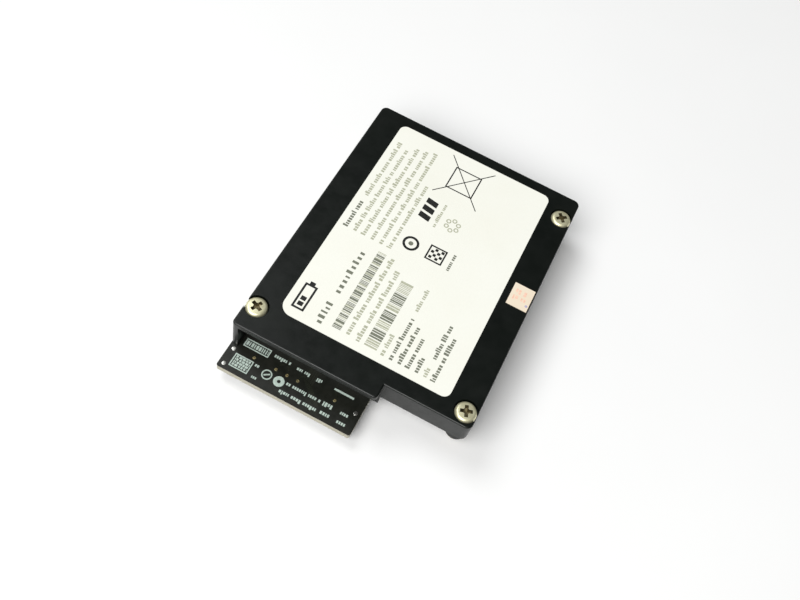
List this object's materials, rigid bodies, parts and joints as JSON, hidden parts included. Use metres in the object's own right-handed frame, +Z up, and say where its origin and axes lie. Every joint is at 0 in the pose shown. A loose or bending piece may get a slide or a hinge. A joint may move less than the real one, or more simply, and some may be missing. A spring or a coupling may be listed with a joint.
{
  "type": "battery module for a storage controller card",
  "caption": "Flat black battery pack with a visor over a projecting circuit board tab, corner screws into threaded standoffs, and a plug-in connector under the tab.",
  "frame": {"origin": "middle of the whole part in plan, on the level of the connector's lower face, its lowest point", "axes": "+X along the front edge from the visor side to the plain side, +Y from the board tab to the back, +Z up out of the labelled face"},
  "size_m": [0.056, 0.0804, 0.0142],
  "materials": {
    "housing_plastic": "fine moulded texture, satin black",
    "cover_plastic": "satin dark grey",
    "label_paper": "smooth coated paper",
    "seal_paper": "brittle matt paper",
    "screw_steel": "pale yellow zinc plating",
    "standoff_brass": "nickel-plated brass",
    "board_laminate": "black solder mask",
    "small_screw_steel": "bright zinc plating",
    "gold_plating": "flash gold",
    "solder": "tinned",
    "connector_plastic": "glass-filled moulding",
    "contact_metal": "gold-flashed tails",
    "cell_pouch": "laminated foil",
    "nickel": "nickel strip",
    "foam": "closed-cell foam",
    "tape": "double-sided tape",
    "green_laminate": "green solder mask",
    "chip_epoxy": "moulded epoxy",
    "fuse_metal": "nickel-faced polymer",
    "bead_epoxy": "dipped epoxy",
    "red_insulation": "PVC insulation",
    "black_insulation": "PVC insulation",
    "white_insulation": "PVC insulation",
    "plug_nylon": "natural nylon",
    "ferrite": "ferrite",
    "capacitor_ceramic": "ceramic with tinned ends",
    "resistor_body": "glazed ceramic"
  },
  "bodies": {
    "root": {"top_housing": "housing_plastic", "bottom_cover": "cover_plastic", "label": "label_paper", "seal_sticker": "seal_paper", "housing_screws": "screw_steel", "threaded_standoffs": "standoff_brass", "main_board": "board_laminate", "board_screws": "small_screw_steel", "tab_vias": "gold_plating", "tab_pads": "solder", "board_connector": "connector_plastic", "connector_contacts": "contact_metal", "battery_cell": "cell_pouch", "cell_tabs": "nickel", "foam_pad": "foam", "cell_tape": "tape", "protection_board": "green_laminate", "protection_chip": "chip_epoxy", "protection_switch": "chip_epoxy", "thermal_fuse": "fuse_metal", "thermistor": "bead_epoxy", "positive_lead": "red_insulation", "negative_lead": "black_insulation", "sense_lead": "white_insulation", "lead_plug": "plug_nylon", "lead_header": "plug_nylon", "gauge_chip": "chip_epoxy", "charger_chip": "chip_epoxy", "memory_chip": "chip_epoxy", "power_switches": "chip_epoxy", "power_inductor": "ferrite", "capacitors": "capacitor_ceramic", "resistors": "resistor_body"}
  },
  "joints": []
}
